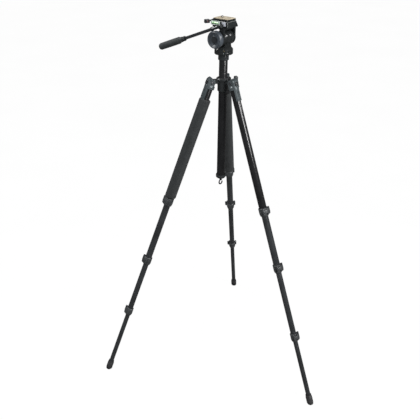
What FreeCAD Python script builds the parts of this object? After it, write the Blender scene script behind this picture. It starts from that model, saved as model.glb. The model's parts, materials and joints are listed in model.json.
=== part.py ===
"""Travel tripod with a fluid video head, standing on three spread legs.

Frame: +Z up, origin on the floor on the centre column's axis, -Y towards the
subject that a camera on the head looks at, and the pan handle towards +Y.
Every leg is drawn in its own frame, with the fold hinge at the origin, the leg
hanging down -Z, +X away from the column and +Y along the hinge pin, and is then
turned and moved to its place. All lengths are millimetres.
"""

import FreeCAD, Part
import math
import os

V = FreeCAD.Vector
ORIGIN = V(0, 0, 0)
X_AXIS = V(1, 0, 0)
Y_AXIS = V(0, 1, 0)
Z_AXIS = V(0, 0, 1)

# Stance
hinge_height = 1109.5
hinge_radius = 40.6
leg_splay_deg = 19.9
leg_length = hinge_height / math.cos(math.radians(leg_splay_deg))

# Each leg: direction around the column, and how far down the leg, from the
# hinge, the middle of its second and third lock stands
LEGS = {
    "left": {"azimuth": 150.0, "locks": (449.1, 692.1, 914.1), "foam": True},
    "front": {"azimuth": 270.0, "locks": (449.1, 657.1, 918.1), "foam": False},
    "right": {"azimuth": 30.0, "locks": (449.1, 634.1, 886.1), "foam": True},
}

# Telescoping tubes, thickest first: outer radius and wall
tube_radius = (13.2, 11.5, 9.8, 8.1)
tube_wall = (1.35, 1.3, 1.3, 1.3)
tube_length = 385.0
upper_tube_top = 18.0
tube_seat_clearance = 0.3
running_clearance = 0.05
body_gap = 0.4

# Lever locks
lock_height = 28.0
lock_wall = 3.2
lock_lever_start_deg = -50.0
lock_lever_end_deg = 62.0
lock_ear = 3.5
lock_pin_radius = 1.5
lock_boss_radius = 3.6
lock_taper = 7.0
lock_bevel = 1.5
lever_clearance = 0.8
lever_thickness = 4.2
lever_skirt_start_deg = -16.0
lever_skirt_drop = 5.5
lever_skirt_rise = 3.2
lever_tab_length = 7.0
lever_lip_width = 2.6
lever_lip_reach = 3.0
clamp_slot = 1.6

# Leg bracket and hinge
ear_inner = 8.0
ear_thickness = 5.0
ear_radius = 10.0
lug_half_width = 7.6
lug_radius = 8.0
bolt_radius = 3.0
bolt_head_radius = 5.2
bolt_head_height = 2.4
bolt_head_gap = 0.3
bolt_socket_size = 3.6
bolt_socket_depth = 0.9
hood_inner = 10.6
hood_outer = 15.0
hood_start_deg = -35.0
hood_end_deg = 66.0
web_top = 3.0
web_depth = 5.0
web_overlap = 0.6
web_round = 2.0
ear_front = 2.0
socket_top = 14.0
socket_chamfer_width = 2.5
socket_chamfer_height = 3.5
socket_bottom = 24.0
socket_radius = 17.0
tongue_bottom = 62.0
tongue_half_angle_deg = 54.0
tongue_step = 0.6
tongue_rib_half_width = 4.0
tongue_rib_height = 1.4
stop_middle = 5.5
stop_half_width = 6.5
stop_half_height = 6.0
stop_thickness = 3.2
stop_stem_half = 2.9
stop_round = 1.4

# Foam sleeves
foam_top = 62.6
foam_bottom = 431.1
foam_radius = 20.0

# Rubber feet
foot_radius = 11.6
foot_length = 36.0
foot_tube_gap = 10.0

# Spider
hub_radius = 18.8
hub_low = 1095.0
hub_high = 1112.0
sleeve_radius = 18.2
sleeve_low = 1073.0
sleeve_chamfer = 3.4
collar_radius = 22.5
collar_high = 1120.0
collar_ear_reach = 27.0
collar_ear_half_width = 4.5
collar_slot = 1.4
collar_bevel = 1.5
lug_half_height = 7.0
lock_knob_azimuth = 330.0
lock_knob_height = 1104.5
lock_screw_radius = 3.0
lock_boss_reach = 23.0
lock_boss_size = 7.0
lock_skirt_radius = 6.2
lock_skirt_length = 5.0
lock_arm_length = 28.0
lock_arm_radius = 4.0
lock_paddle_start = 17.0
lock_paddle_height = 17.0
lock_paddle_half_width = 6.0

# Centre column
column_radius = 14.2
column_wall = 1.6
column_top = 1187.0
column_clearance = 0.35
end_cap_radius = 17.0
end_cap_low = 755.0
end_cap_high = 768.0
end_cap_plug_high = 784.0
end_cap_bevel = 3.0
hook_ring_radius = 8.0
hook_wire_radius = 2.2
hook_centre = 737.0
hook_hub_radius = 5.0
hook_neck_radius = 4.2
hook_pin_radius = 3.0
hook_pin_length = 13.0

# Head
head_collar_radius = 17.6
head_collar_low = 1180.5
head_collar_high = 1200.8
head_collar_bevel = 1.2
head_screw_radius = 4.76
head_screw_high = 1208.8
base_radius = 30.4
base_high = 1209.3
base_bevel = 1.6
spigot_radius = 9.0
spigot_high = 1219.3
turntable_low = 1209.7
shoulder_low = 1217.6
turntable_high = 1226.0
shoulder_radius = 23.0
neck_foot = (17.0, 18.0)
neck_head = (14.0, 17.0)
neck_high = 1245.5
pan_lock_height = 1214.6
pan_lock_azimuth = 40.0
pan_screw_radius = 2.5
pan_knob_radius = 9.0
pan_knob_near = 32.0
pan_knob_far = 44.0
pan_boss_radius = 6.0
pan_knob_flutes = 6
pan_flute_radius = 3.0
tilt_axis_height = 1253.5
barrel_radius = 24.0
barrel_half_length = 23.0
barrel_round = 2.0
barrel_rib_x = 9.0
barrel_rib_half_width = 1.5
barrel_rib_height = 0.9
cheek_inner = 23.5
cheek_outer = 30.5
axle_radius = 4.0
axle_knob_depth = 9.0
axle_cap_depth = 2.0
cheek_radius = 24.0
cheek_cap_reach = 5.0
cheek_cap_base = 22.0
cheek_cap_edge = 19.5
cheek_cap_flat = 15.0
barrel_room = 1.4
knob_radius = 28.0
knob_near = 31.0
knob_far = 52.0
knob_cap_radius = 11.5
knob_dish_depth = 4.6
knob_cap_depth = 1.6
knob_cap_edge_depth = 2.4

# Tilting platform, quick release and plate
bridge_low = 1281.0
bridge_front_y = -17.0
front_bridge_rear_y = -5.0
rear_bridge_rear_y = 12.0
rear_bridge_left = -5.0
left_riser_rear_y = -8.0
receiver_low = 1289.0
receiver_high = 1309.5
receiver_left = -24.0
receiver_right = 31.5
receiver_top_right = 21.0
receiver_half_length = 30.5
plate_half_width = 22.0
plate_half_length = 30.0
plate_low = 1310.3
plate_high = 1315.3
plate_foot_low = 1301.3
plate_foot_half_width = 15.0
plate_foot_half_length = 25.0
dovetail_flare = 1.75
plate_clearance = 0.4
cork_high = 1317.8
stud_y = 9.0
stud_radius = 3.17
stud_high = 1323.0
stud_bevel = 0.6
cork_margin = 1.0
cork_hole_radius = 4.2
screw_shank_radius = 3.0
screw_head_radius = 8.4
screw_head_pocket = 5.0

# Bubble level and bright window in the receiver's left side
level_back = -20.6
level_front = -27.2
level_near_y = -1.5
level_far_y = 34.5
level_low = 1295.5
level_high = 1308.5
window_depth = 2.0
window_near_y = -25.5
window_far_y = -8.5
window_low = 1294.5
window_high = 1308.0

# Release lever, at the receiver's rear left corner
lever_pin_at = V(-15.8, 35.6, 0)
lever_pin_radius = 1.6
lever_boss_radius = 4.2
lever_lug_low = 1297.0
lever_seat = 1304.5
lever_arm_high = 1309.5
lever_boss_high = 1311.0
lever_rest_deg = 155.0
lever_block_reach = 20.2
lever_block_half_length = 8.5
lever_block_half_width = 5.5
lever_block_low = 1300.0
lever_block_high = 1312.0

# Pan handle
handle_root = V(-33.2, -8.0, 1294.7)
handle_pitch_deg = -21.4
handle_rod_radius = 5.2
handle_boss_radius = 7.2
handle_boss_back = 9.0
handle_boss_front = 4.0
handle_length = 288.0
handle_seat_depth = 6.0
handle_link_offset = 2.0
ferrule_start = 31.0
ferrule_end = 36.0
ferrule_step = 1.8
grip_length = 128.0
grip_radius = 12.2
nose_radius = 8.4
nose_length = 28.0
nose_step_at = 15.0


def cylinder(radius, start, end):
    """A round bar between two points."""
    along = end.sub(start)
    return Part.makeCylinder(radius, along.Length, start, along)


def cone(radius_start, radius_end, start, end):
    along = end.sub(start)
    return Part.makeCone(radius_start, radius_end, along.Length, start, along)


def up_bar(radius, low, high, x=0.0, y=0.0):
    return cylinder(radius, V(x, y, low), V(x, y, high))


def up_tube(outer, inner, low, high):
    return up_bar(outer, low, high).cut(up_bar(inner, low - 1, high + 1))


def box(x0, x1, y0, y1, z0, z1):
    return Part.makeBox(x1 - x0, y1 - y0, z1 - z0, V(x0, y0, z0))


def loft_rectangles(half_x_low, half_y_low, low, half_x_high, half_y_high, high):
    """A straight-sided block whose rectangle changes size with height."""

    def outline(hx, hy, z):
        corners = [V(-hx, -hy, z), V(hx, -hy, z), V(hx, hy, z), V(-hx, hy, z)]
        return Part.makePolygon(corners + corners[:1])

    wires = [outline(half_x_low, half_y_low, low), outline(half_x_high, half_y_high, high)]
    return Part.makeLoft(wires, True, True)


def revolve(profile, axis_point=ORIGIN, axis=Z_AXIS):
    """A solid of revolution from points in the plane through the axis."""
    face = Part.Face(Part.makePolygon(profile + profile[:1]))
    return face.revolve(axis_point, axis, 360)


def turned(profile, x=0.0, y=0.0):
    """A turned piece about a vertical axis, from (radius, height) points."""
    solid = revolve([V(r, 0, z) for r, z in profile])
    solid.translate(V(x, y, 0))
    return solid


def sector(inner, outer, start_deg, end_deg, low, high):
    """Part of a ring, from one angle round to another."""
    ring = up_bar(outer, low, high).cut(up_bar(inner, low - 1, high + 1))
    reach = outer * 3
    steps = [start_deg + (end_deg - start_deg) * i / 4 for i in range(5)]
    rim = [V(reach * math.cos(math.radians(a)), reach * math.sin(math.radians(a)), low - 1) for a in steps]
    wedge = Part.Face(Part.makePolygon([V(0, 0, low - 1)] + rim + [V(0, 0, low - 1)]))
    return ring.common(wedge.extrude(V(0, 0, high - low + 2)))


def fuse(first, *others):
    shape = first.fuse(list(others)) if others else first
    return shape.removeSplitter()


def rounded(shape, size, chooser):
    """The shape with the edges that chooser picks rounded off."""
    edges = [e for e in shape.Edges if chooser(e)]
    return shape.makeFillet(size, edges) if edges else shape


def polar(radius, angle_deg, z=0.0):
    angle = math.radians(angle_deg)
    return V(radius * math.cos(angle), radius * math.sin(angle), z)


# ---------------------------------------------------------------- leg pieces


def lock_outer(stage):
    """Radius of a lock's body, which clamps on tube number stage."""
    return tube_radius[stage] + lock_wall


def leg_tube(stage, low, high):
    inner = tube_radius[stage] - tube_wall[stage]
    return up_tube(tube_radius[stage], inner, low, high)


def lock_pin_centre(stage):
    return polar(lock_outer(stage) + lock_boss_radius + body_gap, lock_lever_start_deg)


def lock_collar(stage, middle):
    """Tapered clamp collar with two ears, a hinge pin, a split and a clamp rib."""
    top = middle + lock_height / 2
    bottom = middle - lock_height / 2
    outer = lock_outer(stage)
    low_outer = tube_radius[stage + 1] + lock_wall
    body = turned([
        (0, bottom), (low_outer, bottom), (outer, bottom + lock_taper), (outer, top - lock_bevel),
        (outer - lock_bevel, top), (0, top),
    ])
    pin = lock_pin_centre(stage)
    ears = []
    for ear_low in (bottom + lock_taper, top - lock_ear - lock_bevel):
        ear = up_bar(lock_boss_radius, ear_low, ear_low + lock_ear, pin.x, pin.y)
        web = box(0, pin.Length, -lock_boss_radius, lock_boss_radius, ear_low, ear_low + lock_ear)
        web.rotate(ORIGIN, Z_AXIS, lock_lever_start_deg)
        ears += [ear, web]
    pin_bar = up_bar(lock_pin_radius, bottom + lock_taper, top - lock_bevel, pin.x, pin.y)
    body = fuse(body, pin_bar, *ears)
    seat = up_bar(tube_radius[stage], middle, top + 1)
    passage = up_bar(tube_radius[stage + 1] + tube_seat_clearance, bottom - 1, middle + 1)
    slit = box(0, outer * 2, -clamp_slot / 2, clamp_slot / 2, bottom - 1, middle)
    slit.rotate(ORIGIN, Z_AXIS, lock_lever_start_deg - 24)
    return body.cut(fuse(seat, passage)).cut(slit)


def lock_lever(stage, middle):
    """Lever that wraps round the collar from its pin to a raised finger tab."""
    ear_low = middle - lock_height / 2 + lock_taper + lock_ear
    ear_high = middle + lock_height / 2 - lock_bevel - lock_ear
    low = ear_low + body_gap
    high = ear_high - body_gap
    skirt_low = low - lever_skirt_drop
    skirt_high = high + lever_skirt_rise
    inner = lock_outer(stage) + lever_clearance
    outer = inner + lever_thickness
    pin = lock_pin_centre(stage)
    boss = up_bar(lock_boss_radius, low, high, pin.x, pin.y)
    wrap = sector(inner, outer, lock_lever_start_deg + 3, lock_lever_end_deg, low, high)
    # past the collar's ears the lever grows to its full height
    skirt = sector(inner, outer, lever_skirt_start_deg, lock_lever_end_deg, skirt_low, skirt_high)
    tab = box(inner + 0.8, outer, 0, lever_tab_length, skirt_low, skirt_high)
    lip_start = lever_tab_length - lever_lip_width
    lip = box(outer - 2.4, outer + lever_lip_reach, lip_start, lever_tab_length, skirt_low, skirt_high)
    for piece in (tab, lip):
        piece.rotate(ORIGIN, Z_AXIS, lock_lever_end_deg - 1.5)
    lever = fuse(boss, wrap, skirt, tab, lip)
    bore = up_bar(lock_pin_radius + running_clearance, low - 1, high + 1, pin.x, pin.y)
    return lever.cut(bore)


def leg_bracket():
    """Yoke with two ears, a hood over the pin, the tube socket and a half-shell tongue."""
    ear_outer = ear_inner + ear_thickness
    web_outer = ear_radius + web_depth
    web_inner = ear_radius - web_overlap
    ears = []
    for side in (-1, 1):
        near = side * ear_inner
        far = side * ear_outer
        round_end = cylinder(ear_radius, V(0, near, 0), V(0, far, 0))
        y_low, y_high = sorted((near, far))
        plate = box(-ear_radius, ear_radius + ear_front, y_low, y_high, -socket_top - 3, 0)
        ears += [round_end, plate]
    web = box(web_inner, web_outer, -ear_outer, ear_outer, -socket_top - 4, web_top)
    web = rounded(web, web_round, lambda e: e.BoundBox.XMin > web_outer - 0.01 and e.BoundBox.ZLength > 5)
    hood = sector(hood_inner, hood_outer, hood_start_deg, hood_end_deg, -ear_outer, ear_outer)
    hood.rotate(ORIGIN, X_AXIS, 90)
    socket = up_bar(socket_radius, -socket_bottom, -socket_top)
    chamfer_foot = V(0, 0, -socket_top)
    chamfer_top = V(0, 0, -socket_top + socket_chamfer_height)
    collar = cone(socket_radius, socket_radius - socket_chamfer_width, chamfer_foot, chamfer_top)
    tongue_radius = socket_radius - tongue_step
    tongue = sector(
        tube_radius[0], tongue_radius, -tongue_half_angle_deg, tongue_half_angle_deg,
        -tongue_bottom, -socket_bottom + 2,
    )
    rib = box(
        tongue_radius - 1, tongue_radius + tongue_rib_height, -tongue_rib_half_width, tongue_rib_half_width,
        -tongue_bottom + 3, -socket_top - 2,
    )
    bracket = fuse(socket, collar, web, hood, tongue, rib, *ears)
    bore = up_bar(tube_radius[0], -tongue_bottom - 1, -upper_tube_top)
    pin_hole = cylinder(bolt_radius + running_clearance, V(0, -20, 0), V(0, 20, 0))
    throat = box(-socket_radius, web_inner, -ear_inner, ear_inner, -socket_top, ear_radius)
    stem_room = stop_stem_half + 0.3
    stop_hole = box(0, 25, -stem_room, stem_room, -stop_middle - stem_room, -stop_middle + stem_room)
    for opening in (bore, pin_hole, throat, stop_hole):
        bracket = bracket.cut(opening)
    return bracket


def angle_stop():
    """Pull-out catch on the bracket's outer face that sets the leg's spread."""
    face = ear_radius + web_depth + body_gap
    low, high = -stop_middle - stop_half_height, -stop_middle + stop_half_height
    button = box(face, face + stop_thickness, -stop_half_width, stop_half_width, low, high)
    button = rounded(button, stop_round, lambda e: abs(e.BoundBox.XMin - face - stop_thickness) < 0.01)
    stem = box(
        lug_radius + 0.8, face + 1, -stop_stem_half, stop_stem_half,
        -stop_middle - stop_stem_half, -stop_middle + stop_stem_half,
    )
    return fuse(button, stem)


def foam_sleeve():
    return up_tube(foam_radius, tube_radius[0], -foam_bottom, -foam_top)


def foot(leg_matrix):
    """Rubber boot on the last tube, cut flat where it meets the floor."""
    top = -leg_length + foot_length
    boot = turned([
        (0, -leg_length - 8), (foot_radius - 1.5, -leg_length - 2), (foot_radius, -leg_length + 6),
        (foot_radius, top - 9), (foot_radius - 1.2, top - 7), (foot_radius - 1.2, top - 1), (0, top),
    ])
    boot = boot.cut(up_bar(tube_radius[3], -leg_length + foot_tube_gap, top + 1))
    boot = placed(boot, leg_matrix)
    reach = leg_length
    return boot.cut(box(-reach, reach, -reach, reach, -foot_length, 0))


def placed(shape, matrix):
    moved = shape.copy()
    moved.Placement = FreeCAD.Placement(matrix).multiply(moved.Placement)
    return moved


def leg_placement(azimuth):
    """From the leg's own frame to the tripod's."""
    place = FreeCAD.Placement(V(hinge_radius, 0, hinge_height), FreeCAD.Rotation(Y_AXIS, -leg_splay_deg))
    turn = FreeCAD.Placement(ORIGIN, FreeCAD.Rotation(Z_AXIS, azimuth))
    return turn.multiply(place).toMatrix()


def leg(name, spec):
    """All the pieces of one leg, by node name."""
    matrix = leg_placement(spec["azimuth"])
    lock1, lock2, lock3 = spec["locks"]
    pieces = {
        "bracket": leg_bracket(),
        "angle_stop": angle_stop(),
        "upper_tube": leg_tube(0, -lock1, -upper_tube_top),
        "tube_2": leg_tube(1, -lock2, -lock2 + tube_length),
        "tube_3": leg_tube(2, -lock3, -lock3 + tube_length),
        "tube_4": leg_tube(3, -leg_length + foot_tube_gap, -leg_length + tube_length),
    }
    for stage, middle in enumerate(spec["locks"]):
        pieces[f"lock_collar_{stage + 1}"] = lock_collar(stage, -middle)
        pieces[f"lock_lever_{stage + 1}"] = lock_lever(stage, -middle)
    if spec["foam"]:
        pieces["foam_sleeve"] = foam_sleeve()
    nodes = {f"{name}_{key}": placed(shape, matrix) for key, shape in pieces.items()}
    nodes[f"{name}_foot"] = foot(matrix)
    return nodes


# ------------------------------------------------------------ spider, column


def spider():
    """Hub with a lug for each leg, a chamfered sleeve and a split clamp ring on top."""
    hub = turned([
        (0, sleeve_low), (sleeve_radius - sleeve_chamfer, sleeve_low),
        (sleeve_radius, sleeve_low + sleeve_chamfer), (sleeve_radius, hub_low),
        (hub_radius, hub_low + 1), (hub_radius, hub_high),
        (collar_radius - 1, hub_high), (collar_radius, hub_high + 1),
        (collar_radius, collar_high - collar_bevel), (collar_radius - collar_bevel, collar_high),
        (0, collar_high),
    ])
    lug_low = hinge_height - lug_half_height
    lug_high = hinge_height + lug_half_height
    side = V(0, lug_half_width, 0)
    hinge = V(hinge_radius, 0, hinge_height)
    pieces = []
    for spec in LEGS.values():
        arm = box(0, hinge_radius, -lug_half_width, lug_half_width, lug_low, lug_high)
        lug = fuse(arm, cylinder(lug_radius, hinge - side, hinge + side))
        lug = lug.cut(cylinder(bolt_radius, hinge - side * 2, hinge + side * 2))
        lug.rotate(ORIGIN, Z_AXIS, spec["azimuth"])
        pieces.append(lug)
    boss_end = V(lock_boss_reach, 0, lock_knob_height)
    boss = cylinder(lock_boss_size, V(column_radius + 0.8, 0, lock_knob_height), boss_end)
    ear = box(
        collar_radius - 4, collar_ear_reach, -collar_ear_half_width, collar_ear_half_width,
        hub_high + 0.5, collar_high - 0.5,
    )
    for piece in (boss, ear):
        piece.rotate(ORIGIN, Z_AXIS, lock_knob_azimuth)
    body = fuse(hub, boss, ear, *pieces)
    bore = up_bar(column_radius + column_clearance, sleeve_low - 1, collar_high + 1)
    hole_start = V(hub_radius / 2, 0, lock_knob_height)
    screw_hole = cylinder(lock_screw_radius + running_clearance, hole_start, boss_end + X_AXIS)
    split = box(
        column_radius, collar_ear_reach + 1, -collar_slot / 2, collar_slot / 2,
        hub_high + 0.5, collar_high + 1,
    )
    for opening in (screw_hole, split):
        opening.rotate(ORIGIN, Z_AXIS, lock_knob_azimuth)
    for opening in (bore, screw_hole, split):
        body = body.cut(opening)
    return body


def hinge_bolts():
    """One bolt and nut through each leg hinge."""
    seat = ear_inner + ear_thickness + bolt_head_gap
    end = seat + bolt_head_height
    socket_half = bolt_socket_size / 2
    bolts = []
    for spec in LEGS.values():
        shank = cylinder(bolt_radius, V(0, -seat, 0), V(0, seat, 0))
        heads = [cylinder(bolt_head_radius, V(0, side * seat, 0), V(0, side * end, 0)) for side in (-1, 1)]
        socket = box(-socket_half, socket_half, end - bolt_socket_depth, end + 1, -socket_half, socket_half)
        bolt = fuse(shank, *heads).cut(socket)
        bolt.translate(V(hinge_radius, 0, hinge_height))
        bolt.rotate(ORIGIN, Z_AXIS, spec["azimuth"])
        bolts.append(bolt)
    return Part.makeCompound(bolts)


def column_lock_knob():
    """Clamp screw with a long arm and an upright paddle, drawn along +X and then turned."""
    near = lock_boss_reach + body_gap
    far = near + lock_arm_length
    stem = cylinder(lock_screw_radius, V(column_radius + 1.0, 0, 0), V(near + 1, 0, 0))
    skirt = cone(lock_skirt_radius, lock_arm_radius + 1, V(near, 0, 0), V(near + lock_skirt_length, 0, 0))
    arm = cylinder(lock_arm_radius, V(near, 0, 0), V(far, 0, 0))
    paddle = box(
        near + lock_paddle_start, far, -lock_paddle_half_width, lock_paddle_half_width,
        -1.0, lock_paddle_height,
    )
    paddle = rounded(paddle, 2.5, lambda e: abs(e.BoundBox.ZMin - lock_paddle_height) < 0.01)
    knob = fuse(stem, skirt, arm, paddle)
    knob.translate(V(0, 0, lock_knob_height))
    knob.rotate(ORIGIN, Z_AXIS, lock_knob_azimuth)
    return knob


def centre_column():
    return up_tube(column_radius, column_radius - column_wall, end_cap_high, column_top)


def column_end_cap():
    """Stop flange at the foot of the column, with a plug inside the tube."""
    flange = turned([
        (0, end_cap_low), (end_cap_radius - end_cap_bevel, end_cap_low),
        (end_cap_radius, end_cap_low + end_cap_bevel), (end_cap_radius, end_cap_high), (0, end_cap_high),
    ])
    plug = up_bar(column_radius - column_wall, end_cap_high - 1, end_cap_plug_high)
    socket = up_bar(hook_pin_radius + running_clearance, end_cap_low - 1, end_cap_low + hook_pin_length + 1)
    return fuse(flange, plug).cut(socket)


def ballast_hook():
    """Open wire hook on a swivel stem."""
    wire = Part.makeTorus(hook_ring_radius, hook_wire_radius, V(0, 0, hook_centre), Y_AXIS)
    gap = box(1.0, 14, -6, 6, hook_centre + 1.0, hook_centre + 6.5)
    wire = wire.cut(gap)
    hub_top = end_cap_low - body_gap
    hub = turned([
        (0, hook_centre + 6.8), (hook_neck_radius, hook_centre + 8.2), (hook_hub_radius, hub_top - 1.0),
        (hook_hub_radius, hub_top), (0, hub_top),
    ])
    pin = up_bar(hook_pin_radius, hub_top - 1, end_cap_low + hook_pin_length)
    return fuse(wire, hub, pin)


# ---------------------------------------------------------------------- head


def column_head_plate():
    """Collar on top of the column that carries the head's screw."""
    collar = turned([
        (0, head_collar_low), (head_collar_radius - head_collar_bevel, head_collar_low),
        (head_collar_radius, head_collar_low + head_collar_bevel), (head_collar_radius, head_collar_high),
        (0, head_collar_high),
    ])
    screw = up_bar(head_screw_radius, head_collar_high - 1, head_screw_high)
    tube_seat = up_bar(column_radius, head_collar_low - 1, column_top)
    return fuse(collar, screw).cut(tube_seat)


def pan_base():
    """Fixed disc under the turntable, with the spigot that the head turns on."""
    disc = turned([
        (0, head_collar_high), (base_radius - base_bevel, head_collar_high),
        (base_radius, head_collar_high + base_bevel), (base_radius, base_high), (0, base_high),
    ])
    spigot = up_bar(spigot_radius, base_high - 1, spigot_high)
    screw_hole = up_bar(head_screw_radius, head_collar_high - 1, head_screw_high)
    return fuse(disc, spigot).cut(screw_hole)


def x_bar(radius, start, end):
    """A round bar along the tilt axis."""
    return cylinder(radius, V(start, 0, tilt_axis_height), V(end, 0, tilt_axis_height))


def head_body():
    """Turntable, neck and tilt barrel in one casting."""
    table = turned([
        (0, turntable_low), (base_radius, turntable_low), (base_radius, shoulder_low),
        (shoulder_radius, turntable_high), (0, turntable_high),
    ])
    neck = loft_rectangles(*neck_foot, turntable_high - 3, *neck_head, neck_high)
    barrel = x_bar(barrel_radius, -barrel_half_length, barrel_half_length)
    barrel = rounded(barrel, barrel_round, lambda e: e.BoundBox.XLength < 0.01)
    axle = x_bar(axle_radius, -knob_near - axle_knob_depth, cheek_outer + axle_cap_depth)
    ribs = []
    for x in (-barrel_rib_x, barrel_rib_x):
        rib_radius = barrel_radius + barrel_rib_height
        ribs.append(x_bar(rib_radius, x - barrel_rib_half_width, x + barrel_rib_half_width))
    boss = cylinder(pan_boss_radius, V(20, 0, pan_lock_height), V(pan_knob_near - 0.5, 0, pan_lock_height))
    boss = boss.common(up_bar(50, turntable_low, turntable_high))
    boss.rotate(ORIGIN, Z_AXIS, pan_lock_azimuth)
    body = fuse(table, neck, barrel, axle, boss, *ribs)
    socket = up_bar(spigot_radius + running_clearance, turntable_low - 1, spigot_high + body_gap)
    hole_end = V(pan_knob_near + 1, 0, pan_lock_height)
    screw_hole = cylinder(pan_screw_radius + running_clearance, V(12, 0, pan_lock_height), hole_end)
    screw_hole.rotate(ORIGIN, Z_AXIS, pan_lock_azimuth)
    return body.cut(socket).cut(screw_hole)


def pan_lock_knob():
    """Small star knob that clamps the turntable."""
    axis = V(0, 0, pan_lock_height)
    stem = cylinder(pan_screw_radius, V(13, 0, 0), V(pan_knob_near + 1, 0, 0))
    head = cylinder(pan_knob_radius, V(pan_knob_near, 0, 0), V(pan_knob_far, 0, 0))
    head = rounded(head, 1.5, lambda e: abs(e.BoundBox.XMin - pan_knob_far) < 0.01)
    flutes = []
    for i in range(pan_knob_flutes):
        flute_at = polar(pan_knob_radius + pan_flute_radius / 2, 360 / pan_knob_flutes * (i + 0.5))
        centre = V(pan_knob_near - 2, flute_at.x, flute_at.y)
        flutes.append(cylinder(pan_flute_radius, centre, centre + V(pan_knob_far - pan_knob_near + 4, 0, 0)))
    knob = fuse(stem, head.cut(fuse(*flutes)))
    knob.translate(axis)
    knob.rotate(ORIGIN, Z_AXIS, pan_lock_azimuth)
    return knob


def x_turned(profile, height):
    """A piece turned about the tilt axis, from (x, radius) points."""
    return revolve([V(x, 0, height + r) for x, r in profile], V(0, 0, height), X_AXIS)


def tilt_drag_knob():
    """Large dished drag knob on the left of the head."""
    r = knob_radius
    profile = [
        (-knob_near, 0), (-knob_near, r - 5), (-knob_near - 3.5, r - 1), (-knob_near - 6, r),
        (-knob_far + 2.5, r), (-knob_far, r - 2.0), (-knob_far + 0.4, r - 4),
        (-knob_far + knob_dish_depth, r - 11), (-knob_far + knob_dish_depth, knob_cap_radius + 1),
        (-knob_far + knob_cap_edge_depth, knob_cap_radius), (-knob_far + knob_cap_depth, 0),
    ]
    socket = x_bar(axle_radius + running_clearance, -knob_near - axle_knob_depth - 0.5, -knob_near + 1)
    return x_turned(profile, tilt_axis_height).cut(socket)


def receiver():
    """Block that the plate drops into, wide below and sloping in on its right side."""
    outline = [
        (receiver_left, receiver_low), (receiver_right - 0.5, receiver_low),
        (receiver_right, receiver_low + 4), (receiver_top_right, receiver_high),
        (receiver_left + 1.5, receiver_high), (receiver_left, receiver_high - 1.5),
    ]
    points = [V(x, -receiver_half_length, z) for x, z in outline]
    face = Part.Face(Part.makePolygon(points + points[:1]))
    block = face.extrude(V(0, 2 * receiver_half_length, 0))
    return rounded(block, 2.5, lambda e: e.BoundBox.YLength < 0.01 and e.BoundBox.XMax < receiver_left + 0.01)


def tilt_platform():
    """Cheeks on the tilt axle, the bridge they carry and the plate receiver."""
    height = tilt_axis_height
    riser_high = receiver_low + 1
    riser_y = cheek_radius - 1
    cheeks = [x_bar(cheek_radius, -cheek_outer, -cheek_inner), x_bar(cheek_radius, cheek_inner, cheek_outer)]
    left_riser = box(-cheek_outer, -cheek_inner, -riser_y, left_riser_rear_y, height, riser_high)
    right_riser = box(cheek_inner, cheek_outer, -riser_y, riser_y, height, riser_high)
    cap_end = cheek_outer + cheek_cap_reach
    cap = x_turned([
        (cheek_outer, 0), (cheek_outer, cheek_cap_base), (cap_end - 1.5, cheek_cap_edge),
        (cap_end, cheek_cap_flat), (cap_end, 0),
    ], height)
    front_bridge = box(-cheek_outer, cheek_outer, bridge_front_y, front_bridge_rear_y, bridge_low, riser_high)
    rear_bridge = box(
        rear_bridge_left, cheek_outer, bridge_front_y, rear_bridge_rear_y, bridge_low, riser_high
    )
    rod_direction = V(0, math.cos(math.radians(handle_pitch_deg)), math.sin(math.radians(handle_pitch_deg)))
    handle_boss = cylinder(
        handle_boss_radius, handle_root.sub(rod_direction * handle_boss_back),
        handle_root.add(rod_direction * handle_boss_front),
    )
    link_end = handle_root - V(0, handle_link_offset, 0)
    link_start = V(receiver_left + 4, link_end.y, link_end.z)
    boss_link = cylinder(handle_boss_radius - 1.2, link_start, link_end)
    lug = up_bar(lever_boss_radius + 0.2, lever_lug_low, lever_seat, lever_pin_at.x, lever_pin_at.y)
    lug_web = box(
        lever_pin_at.x - lever_boss_radius, lever_pin_at.x + lever_boss_radius, receiver_half_length - 1,
        lever_pin_at.y, lever_lug_low, lever_seat,
    )
    lever_pin_high = lever_boss_high + 0.6
    lever_pin = up_bar(lever_pin_radius, lever_seat - 1, lever_pin_high, lever_pin_at.x, lever_pin_at.y)
    body = fuse(
        receiver(), front_bridge, rear_bridge, left_riser, right_riser, handle_boss, boss_link,
        lug, lug_web, lever_pin, cap, *cheeks,
    )
    pocket_flare = dovetail_flare + 0.2
    pocket_x = plate_foot_half_width + plate_clearance
    pocket_y = plate_foot_half_length + plate_clearance
    pocket = loft_rectangles(
        pocket_x, pocket_y, plate_foot_low - plate_clearance,
        pocket_x + pocket_flare, pocket_y + pocket_flare, plate_low + 0.5,
    )
    bore = x_bar(axle_radius + running_clearance, -cheek_outer - 1, cheek_outer + axle_cap_depth + body_gap)
    rod_bore = cylinder(
        handle_rod_radius + running_clearance,
        handle_root.sub(rod_direction * (handle_seat_depth + body_gap)),
        handle_root.add(rod_direction * 60),
    )
    level_seat = box(
        level_front, level_back, level_near_y - 0.3, level_far_y + 5, level_low - 0.3, receiver_high + 1
    )
    window = box(
        receiver_left - 1, receiver_left + window_depth, window_near_y, window_far_y, window_low, window_high
    )
    barrel_space = x_bar(barrel_radius + barrel_room, -cheek_inner, cheek_inner)
    for opening in (pocket, bore, barrel_space, rod_bore, level_seat, window):
        body = body.cut(opening)
    return body


def bubble_level():
    """Tubular level in a clear-capped housing in the receiver's left side."""
    housing = box(level_front, level_back, level_near_y, level_far_y, level_low, level_high)
    return rounded(housing, 2.4, lambda e: abs(e.BoundBox.XMax - level_front) < 0.01)


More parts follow.
